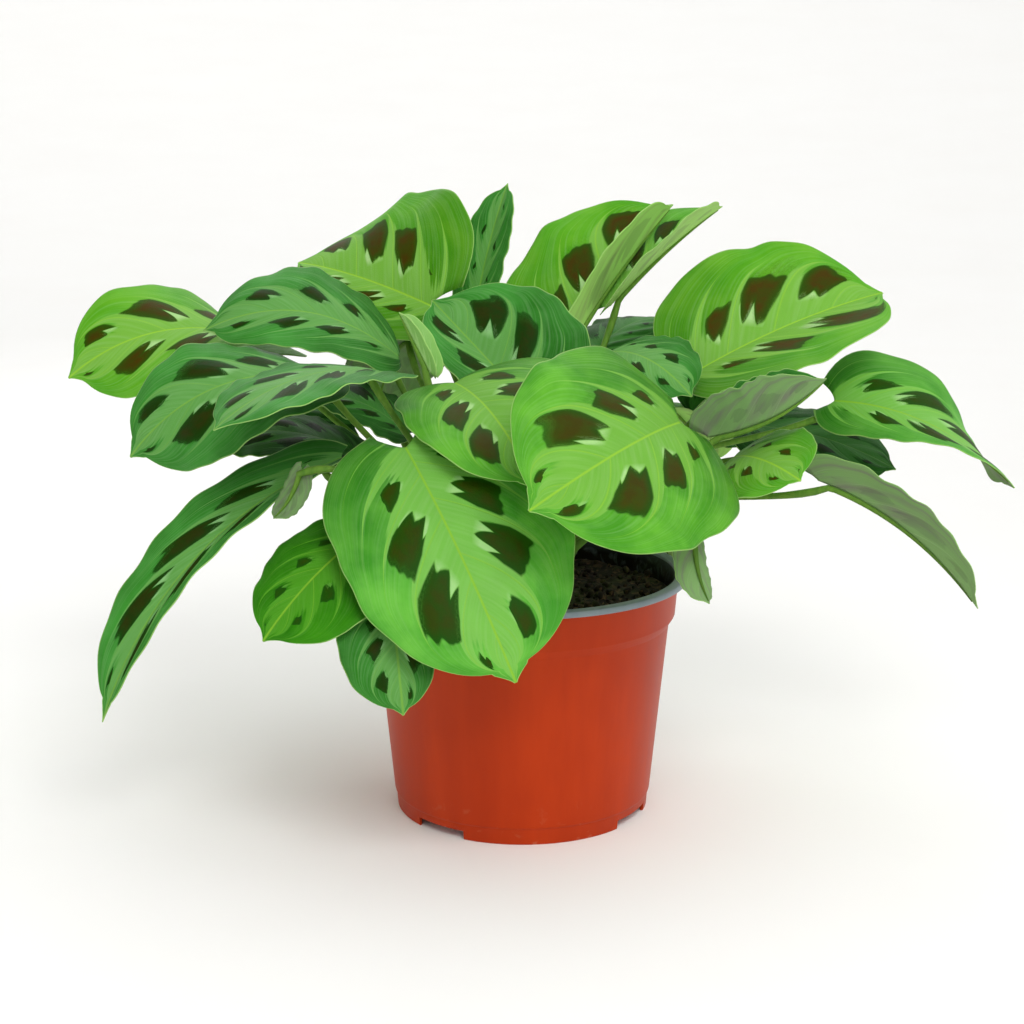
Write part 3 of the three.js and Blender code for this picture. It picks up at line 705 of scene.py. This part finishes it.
comb_place = add(tree, "Math", (0, fraction), (1, 2.0 * TEETH), operation="MULTIPLY")
comb_shift = add(tree, "Math", (0, comb_place), (1, draw.outputs[1]), operation="ADD")
comb = add(tree, "Math", (0, comb_shift), (1, 1.0), operation="PINGPONG")
spike = add(tree, "Math", (0, comb), (1, 1.3), operation="POWER")
uneven_place = add(tree, "Math", (0, count), (1, 3.1), operation="MULTIPLY")
uneven = add(tree, "TexNoise", ("Vector", add(tree, "CombineXYZ", (0, uneven_place), (1, half_leaf))),
             ("Scale", 1.0), ("Detail", 0.0))
bite = add(tree, "MapRange", (0, uneven), (1, 0.3), (2, 0.7), (3, 0.1), (4, 0.5))
tooth = add(tree, "Math", (0, spike), (1, bite), operation="MULTIPLY")
from_inner = add(tree, "Math", (0, length), (1, tooth), operation="SUBTRACT")

fray_x = add(tree, "Math", (0, count), (1, 5.0), operation="MULTIPLY")
fray_y = add(tree, "Math", (0, reach), (1, 2.5), operation="MULTIPLY")
fray = add(tree, "TexNoise", ("Vector", add(tree, "CombineXYZ", (0, fray_x), (1, fray_y), (2, half_leaf))),
           ("Scale", 1.0), ("Detail", 0.0))
frayed = add(tree, "MapRange", (0, fray), (1, 0.3), (2, 0.7), (3, 0.96), (4, 1.04))
to_outer = add(tree, "Math", (0, frayed), (1, length), operation="SUBTRACT")

broad = add(tree, "MapRange", (0, length), (1, 0.0), (2, 0.6), (3, 0.48), (4, 0.8))
narrowed = add(tree, "MapRange", (0, size), (1, 0.1), (2, 0.8), (3, 0.4), (4, 1.0))
swollen = add(tree, "MapRange", (0, draw.outputs[2]), (3, 0.85), (4, 1.15))
width = add(tree, "Math", (0, broad), (1, narrowed), operation="MULTIPLY")
width = add(tree, "Math", (0, width), (1, swollen), operation="MULTIPLY")
wobble = add(tree, "MapRange", (0, fray), (3, -0.06), (4, 0.06))
width = add(tree, "Math", (0, width), (1, wobble), operation="ADD")
to_side = add(tree, "Math", (0, width), (1, away), operation="SUBTRACT")
to_side = add(tree, "Math", (0, to_side), (1, 0.5), operation="MULTIPLY")
ends = add(tree, "Math", (0, from_inner), (1, to_outer), (2, 0.05), operation="SMOOTH_MIN")
deep = add(tree, "Math", (0, ends), (1, to_side), (2, 0.08), operation="SMOOTH_MIN")
print("teeth on a blotch:", TEETH, "and nodes so far:", len(tree.nodes))

# %% Marks that the group gives
PALE_REACH = 0.5
COMB_REACH = 0.1
BARB_REACH = 0.09
BARBS = 2.3
FINE_VEINS = 11.0

blotch = add(tree, "MapRange", (0, deep), (1, -0.015), (2, 0.025))
depth = add(tree, "MapRange", (0, deep), (1, 0.02), (2, 0.2))
in_lane = add(tree, "MapRange", (0, to_side), (1, -0.03), (2, 0.02))
past_inner = add(tree, "MapRange", (0, length), (1, -0.04), (2, 0.12))
before_teeth = add(tree, "MapRange", (0, from_inner), (1, 0.0), (2, -0.05))
tooth_lane = add(tree, "Math", (0, in_lane), (1, past_inner), operation="MULTIPLY")
large = add(tree, "MapRange", (0, size), (1, 0.25), (2, 0.7))
tooth_lane = add(tree, "Math", (0, tooth_lane), (1, large), operation="MULTIPLY")
tooth_mark = add(tree, "Math", (0, tooth_lane), (1, before_teeth), operation="MULTIPLY")

by_vein = add(tree, "Math", (0, away), (1, 2.6), operation="POWER")
reach_out = add(tree, "Math", (0, by_vein), (1, PALE_REACH), operation="MULTIPLY")
comb_out = add(tree, "Math", (0, spike), (1, COMB_REACH), operation="MULTIPLY")
zone = add(tree, "Math", (0, reach_out), (1, comb_out), operation="ADD")
barb_place = add(tree, "Math", (0, comb_shift), (1, BARBS), operation="MULTIPLY")
barb = add(tree, "Math", (0, barb_place), (1, 1.0), operation="PINGPONG")
barb_out = add(tree, "Math", (0, barb), (1, BARB_REACH), operation="MULTIPLY")
zone = add(tree, "Math", (0, zone), (1, barb_out), operation="ADD")
past_zone = add(tree, "Math", (0, reach), (1, zone), operation="SUBTRACT")
pale = add(tree, "MapRange", (0, past_zone), (1, 0.2), (2, 0.14))

near = add(tree, "MapRange", (0, away), (1, 0.95), (2, 0.99))
inside = add(tree, "MapRange", (0, reach), (1, 0.92), (2, 0.55))
vein = add(tree, "Math", (0, near), (1, inside), operation="MULTIPLY")
streak_x = add(tree, "Math", (0, count), (1, FINE_VEINS), operation="MULTIPLY")
streak_y = add(tree, "Math", (0, reach), (1, 2.0), operation="MULTIPLY")
streak_place = add(tree, "CombineXYZ", (0, streak_x), (1, streak_y), (2, half_leaf))
streaks = add(tree, "TexNoise", ("Vector", streak_place), ("Scale", 1.0), ("Detail", 2.0))
ribbing = add(tree, "MapRange", (0, streaks), (1, 0.42), (2, 0.75))
from_rib = add(tree, "Math", (0, across), operation="ABSOLUTE")
rib = add(tree, "MapRange", (0, from_rib), (1, 0.55), (2, 0.2))
margin = add(tree, "MapRange", (0, edge), (1, 0.45), (2, 0.1))

group_end = tree.nodes.new("NodeGroupOutput")
for i, value in enumerate((blotch, depth, tooth_mark, pale, vein, ribbing, rib, margin)):
    tree.links.new(value.outputs[0], group_end.inputs[i])
tree.links.new(draw.outputs[2], group_end.inputs[8])
print("pattern nodes:", len(tree.nodes))

# %% [markdown]
# ## The skins of the leaves
#
# A leaf's upper face is a waxy skin (IOR about 1.45) over green tissue, with a low satin shine. The
# tissue is thin and lets light through, which the subsurface value gives. Young leaves are yellow-green
# with brown blotches. As they age the green deepens, and the blotches turn from brown to dark green.
# Leaves deep inside the plant get a darker green still, which is painted shade. The `sheet` attribute
# holds each point's place on the flat blade in millimetres, so a noise of scale 0.06 makes clouds of
# about 17 mm, one of 0.16 makes stains of about 6 mm, and one of 1.6 a grain of 0.6 mm.


# %% What all leaf skins share
def leaf_surface(tree, output, tissue, roughness, height, strength):
    """The waxy, slightly see-through surface that both faces of a leaf share."""
    relief = add(tree, "Bump", ("Height", height), ("Strength", strength), ("Distance", 0.0003))
    surface = add(tree, "BsdfPrincipled", ("Base Color", tissue), ("Roughness", roughness),
                  ("Normal", relief))
    surface.inputs["IOR"].default_value = 1.45
    surface.inputs["Specular IOR Level"].default_value = 0.06
    surface.inputs["Subsurface Weight"].default_value = 0.1
    surface.inputs["Subsurface Radius"].default_value = (0.4, 1.0, 0.2)
    surface.inputs["Subsurface Scale"].default_value = 0.001
    tree.links.new(surface.outputs[0], output.inputs[0])


def place_marks(tree):
    """Puts the pattern into a material, and returns its outputs by name."""
    marks = tree.nodes.new("ShaderNodeGroup")
    marks.node_tree = pattern
    return {socket.name: socket for socket in marks.outputs}


def paint(tree, tissue, mark, strength, code):
    """Mixes a colour over the tissue where a mark shows, as strongly as asked."""
    amount = add(tree, "Math", (0, mark), (1, strength), operation="MULTIPLY")
    return add(tree, "MixRGB", (0, amount), (1, tissue), (2, colour(code)))


# %% Upper face
def upper_skin(name, green, light, feather, tooth, blotch, stain, blotch_edge_and_base_shade, rib, ribs_show=0.1):
    """The upper face of a leaf, in the colours of one age, or in those of painted shade."""
    material, output = new_material(name)
    tree = material.node_tree
    mark = place_marks(tree)
    sheet = add(tree, "Attribute", attribute_name="sheet").outputs["Vector"]
    shifted = add(tree, "VectorMath", (0, sheet), (1, mark["chance"]), operation="ADD")
    cloud = add(tree, "TexNoise", ("Vector", sheet), ("Scale", 0.06), ("Detail", 4.0))
    cloudy = add(tree, "MapRange", (0, cloud), (1, 0.35), (2, 0.65))
    tissue = add(tree, "MixRGB", (0, cloudy), (1, colour(green)), (2, colour(light)))
    low = add(tree, "SeparateXYZ", (0, sheet))
    # Painted shade: the blade is painted darker towards its base, in the blotch-edge colour, as if shaded
    # by the leaves above.
    shaded = add(tree, "MapRange", (0, low.outputs[1]), (1, 0.0), (2, 45.0), (3, 0.45), (4, 0.0))
    tissue = add(tree, "MixRGB", (0, shaded), (1, tissue), (2, colour(blotch_edge_and_base_shade)))
    tissue = paint(tree, tissue, mark["pale"], 0.8, feather)
    tissue = paint(tree, tissue, mark["ribbing"], ribs_show, tooth)
    tissue = paint(tree, tissue, mark["vein"], 0.5, rib)
    patch = add(tree, "TexNoise", ("Vector", shifted), ("Scale", 0.16), ("Detail", 2.0))
    patchy = add(tree, "MapRange", (0, patch), (1, 0.4), (2, 0.6))
    dark = add(tree, "MixRGB", (0, patchy), (1, colour(blotch)), (2, colour(stain)))
    dark = add(tree, "MixRGB", (0, mark["depth"]), (1, colour(blotch_edge_and_base_shade)), (2, dark))
    tissue = add(tree, "MixRGB", (0, mark["blotch"]), (1, tissue), (2, dark))
    tissue = paint(tree, tissue, mark["tooth"], 0.5, tooth)
    tissue = add(tree, "MixRGB", (0, mark["rib"]), (1, tissue), (2, colour(rib)))
    tissue = paint(tree, tissue, mark["margin"], 0.7, "#A8CF78")
    grain = add(tree, "TexNoise", ("Vector", sheet), ("Scale", 1.6), ("Detail", 3.0))
    shine = add(tree, "MapRange", (0, grain), (3, 0.38), (4, 0.55))
    ribs = add(tree, "Math", (0, mark["ribbing"]), (1, 0.35), operation="MULTIPLY")
    rough_height = add(tree, "Math", (0, grain), (1, ribs), operation="ADD")
    groove = add(tree, "Math", (0, mark["rib"]), (1, mark["vein"]), operation="MAXIMUM")
    height = add(tree, "Math", (0, rough_height), (1, groove), operation="SUBTRACT")
    leaf_surface(tree, output, tissue, shine, height, 0.3)
    return material


# %% Upper faces by age, and a darker one as painted shade
UPPER = {
    "young": upper_skin("young leaf skin", "#4A9A17", "#62A824", "#78B044", "#C8E6AE",
                        "#423402", "#383C02", "#264C03", "#8FC23A"),
    "fresh": upper_skin("fresh leaf skin", "#408C1C", "#5FA82E", "#70AA3E", "#BEE0A4",
                        "#343E02", "#383601", "#1E4804", "#88BA36"),
    "ripe": upper_skin("ripe leaf skin", "#3F9026", "#63B03C", "#76B44C", "#B4D89C",
                       "#234202", "#2C3C02", "#184804", "#84B838"),
    "grown": upper_skin("grown leaf skin", "#2A721D", "#3E8A32", "#629B4C", "#9EC890",
                        "#183403", "#262F04", "#123C05", "#70A444", 0.15),
    # Painted shade: leaves deep inside the plant get this darker copy of the grown skin, which stands in
    # for the shade they lie in.
    "painted_shade": upper_skin("leaf skin darkened as painted shade", "#1B5212", "#29681E", "#3F7C32", "#6E9E60",
                      "#142A05", "#1A3006", "#12360A", "#4E8438", 0.15),
    "deep": upper_skin("deep green leaf skin", "#246E05", "#36840E", "#4E9622", "#8CC264",
                       "#1E4A04", "#2A4406", "#184C07", "#78AE2E"),
    "furled": upper_skin("furled leaf skin", "#86BA60", "#98C674", "#A0CA7C", "#B8DA9C",
                         "#6FA84A", "#6FA84A", "#6FA84A", "#98C474"),
}
print("ages of leaf:", list(UPPER))

# %% [markdown]
# ## Underside and stalk
#
# The underside is dull grey-green with purple streaks. On a young leaf it is paler, and brightened further
# as painted light, as if light shone through it. The blotches show through it as faint shadows, and it has
# hardly any shine. The stalk is a smooth green tube, brown and darker low down, where it is a sheath.


# %% Underside
def under_skin(name, green, streak_colour, rib):
    """The underside of a leaf, in the colours of one age."""
    material, output = new_material(name)
    tree = material.node_tree
    mark = place_marks(tree)
    veins = add(tree, "Attribute", attribute_name="veins").outputs["Vector"]
    stretched = add(tree, "Mapping", (0, veins), ("Scale", (1.3, 1.2, 1.0)))
    streak = add(tree, "TexNoise", ("Vector", stretched), ("Scale", 1.0), ("Detail", 3.0))
    purple = add(tree, "MapRange", (0, streak), (1, 0.48), (2, 0.7), (4, 0.7))
    tissue = add(tree, "MixRGB", (0, purple), (1, colour(green)), (2, colour(streak_colour)))
    tissue = paint(tree, tissue, mark["blotch"], 0.25, "#4C5446")
    ribbed = add(tree, "MapRange", (0, mark["ribbing"]), (3, 0.0), (4, 0.08))
    tissue = add(tree, "MixRGB", (0, ribbed), (1, tissue), (2, colour(rib)))
    tissue = paint(tree, tissue, mark["vein"], 0.35, rib)
    ribs = add(tree, "Math", (0, mark["ribbing"]), (1, 0.3), operation="MULTIPLY")
    height = add(tree, "Math", (0, ribs), (1, mark["vein"]), operation="ADD")
    leaf_surface(tree, output, tissue, 0.6, height, 0.2)
    return material


GROWN_UNDER = under_skin("grown leaf underside", "#76995F", "#71646A", "#93B07C")
# Partly real, partly painted light: the young underside is pale green, and its colour is brightened further
# to stand in for light shining through the leaf.
YOUNG_UNDER_WITH_PAINTED_GLOW = under_skin("young leaf underside with painted glow", "#A8DA70", "#8CA860", "#C0E890")
UNDER = {kind: GROWN_UNDER if kind in ("ripe", "grown", "painted_shade") else YOUNG_UNDER_WITH_PAINTED_GLOW for kind in UPPER}
UNDER["furled"] = UPPER["furled"]
print("undersides:", GROWN_UNDER.name, "and", YOUNG_UNDER_WITH_PAINTED_GLOW.name)

# %% Stalk skin
stalk_skin, output = new_material("leaf stalk skin")
tree = stalk_skin.node_tree
place = add(tree, "TexCoord").outputs["Object"]
stretched = add(tree, "Mapping", (0, place), ("Scale", (1.0, 1.0, 0.15)))
streak = add(tree, "TexNoise", ("Vector", stretched), ("Scale", 700.0), ("Detail", 3.0))
height = add(tree, "SeparateXYZ", (0, place))
low = add(tree, "MapRange", (0, height.outputs[2]), (1, 0.125), (2, 0.085))
tone = add(tree, "MixRGB", (0, low), (1, colour("#769C3C")), (2, colour("#2E2A16")))
tone = add(tree, "MixRGB", (0, streak), (1, tone), (2, colour("#44702A")))
leaf_surface(tree, output, tone, 0.45, streak, 0.2)
print("nodes of the stalk's skin:", len(tree.nodes))

# %% [markdown]
# ## Building a leaf
#
# A grid is added with one face for about each 1.4 mm of the blade, its points are moved onto the blade's
# form, and Solidify gives it a leaf's thickness, with the underside's skin on the back. The numbers that
# the skins read are stored on the mesh before that, so both faces get them.

# %% Blade builder
PATCH = 1.4
BLADE_THICK = 0.3
SPOTS_MIDDLE = 0.36
SPOTS_SPREAD = 0.38


def blade(row, number):
    """The blade of one leaf, with the vein count and the flat measures stored on its mesh."""
    length = (Vector(row["to"]) - Vector(row["base"])).length
    rows = int(length / PATCH) + 8
    columns = 2 * int(max(row["half"]) / PATCH + 3)
    piece = start(bpy.ops.mesh.primitive_grid_add, x_subdivisions=columns, y_subdivisions=rows, size=2)
    mesh = piece.data
    flat = np.empty(len(mesh.vertices) * 3)
    mesh.vertices.foreach_get("co", flat)
    v, t = flat.reshape(-1, 3)[:, 0], (flat.reshape(-1, 3)[:, 1] + 1) / 2
    u = np.clip(0.6 * t + 0.4 * (0.5 - 0.5 * np.cos(np.pi * t)), 0, 1)
    places, across, edge = blade_surface(row, u, v)
    mesh.vertices.foreach_set("co", (places * MM).ravel())
    sheet = mesh.attributes.new("sheet", "FLOAT_VECTOR", "POINT")
    sheet.data.foreach_set("vector", np.column_stack([across * np.sign(v), u * length, edge]).ravel())

    corner = np.empty(len(mesh.loops), int)
    mesh.loops.foreach_get("vertex_index", corner)
    side = np.repeat(np.where(v[corner].reshape(-1, 4).mean(axis=1) < 0, 0, 1), 4)
    count, left_at = vein_place(row, u[corner], np.abs(v[corner]), side)
    veins = mesh.attributes.new("veins", "FLOAT_VECTOR", "CORNER")
    half_leaf = 2.0 * number + side
    veins.data.foreach_set("vector", np.column_stack([count, np.abs(v[corner]), half_leaf]).ravel())
    swell = np.clip(1 - ((left_at - SPOTS_MIDDLE) / SPOTS_SPREAD) ** 2, 0, 1) ** 0.7 * row["spots"]
    spots = mesh.attributes.new("spots", "FLOAT", "CORNER")
    spots.data.foreach_set("value", swell)

    mesh.materials.append(UPPER[row["kind"]])
    mesh.materials.append(UNDER[row["kind"]])
    thick = piece.modifiers.new("thickness", "SOLIDIFY")
    thick.thickness = BLADE_THICK * MM
    thick.offset = 0
    thick.material_offset = 1
    apply_modifiers(piece)
    bpy.ops.object.shade_smooth()
    return piece


print("thickness of a blade:", BLADE_THICK, "mm, in steps of", PATCH, "mm")

# %% [markdown]
# The stalk is a path with round section that stands in the soil, bends out to the blade and runs on below
# it as the midrib, ever thinner. Low down it is a sheath that wraps its neighbours, and just under the
# blade it swells to the joint that lets a prayer plant raise its leaves at night.

# %% Stalk builder
SHEATH_HEIGHT = 4
SHEATH_DEPTH = 8
SHEATH_RADIUS = 1.9
STALK_RISE = 0.45
STALK_LEAN = 0.35
JOINT_AT = 0.06
JOINT_BELOW_BLADE = 1.3
MIDRIB_RADIUS = 1.15
MIDRIB_TAPER = 0.95
STALK_RINGS = 22
MIDRIB_RINGS = 18
STALK_SHAPE = [
    (0, 1.9), (0.12, 2.0), (0.3, 1.55), (0.6, 1.2), (0.84, 1.15), (0.88, 1.45), (0.97, 1.45), (1, 1.2),
]


def curve_points(row):
    """The middle line of the stalk and the midrib in mm, with the radius at each point."""
    points, tangent, normal, _ = midrib(row, [JOINT_AT])
    top = Vector(points[0] - normal[0] * JOINT_BELOW_BLADE)
    heading = Vector(tangent[0])
    foot = Vector((*row["foot"], SOIL_TOP + SHEATH_HEIGHT))
    reach = (top - foot).length
    arrival = Vector((0, 0, 1)).lerp(heading, row["level"]).normalized()
    ends = [foot, foot + Vector((0, 0, reach * STALK_RISE)), top - arrival * reach * STALK_LEAN, top]
    path = [foot - Vector((0, 0, SHEATH_HEIGHT + SHEATH_DEPTH))]
    radii = [SHEATH_RADIUS]
    for t in np.linspace(0, 1, STALK_RINGS):
        share = ((1 - t) ** 3, 3 * t * (1 - t) ** 2, 3 * t * t * (1 - t), t**3)
        path.append(sum((end * part for end, part in zip(ends, share)), Vector()))
        radii.append(float(np.interp(t, *zip(*STALK_SHAPE))))
    for u in np.linspace(0.1, 0.96, MIDRIB_RINGS):
        point, _, normal, _ = midrib(row, [u])
        radii.append(MIDRIB_RADIUS - MIDRIB_TAPER * u)
        path.append(Vector(point[0] - normal[0] * radii[-1] * 0.9))
    return path, radii


def stalk(row):
    """The stalk and the midrib of one leaf as one tapering tube."""
    path, radii = curve_points(row)
    tube = start(bpy.ops.curve.primitive_nurbs_path_add)
    line = tube.data.splines[0]
    line.type = "POLY"
    line.points.add(len(path) - len(line.points))
    for point, place, radius in zip(line.points, path, radii):
        point.co = (*(place * MM), 1)
        point.radius = radius
    tube.data.bevel_depth = MM
    tube.data.bevel_resolution = 2
    tube.data.use_fill_caps = True
    bpy.ops.object.convert(target="MESH")
    tube.data.materials.append(stalk_skin)
    bpy.ops.object.shade_smooth()
    return tube


print("points on the path of a stalk and midrib:", len(curve_points(LEAVES[0])[0]))

# %% Grow all the leaves
faces = 0
for number, row in enumerate(LEAVES):
    whole = join([blade(row, number), stalk(row)])
    faces += finish_piece(whole, "prayer_leaf_" + row["name"], "leaf_" + row["name"])
print("leaf faces:", faces)
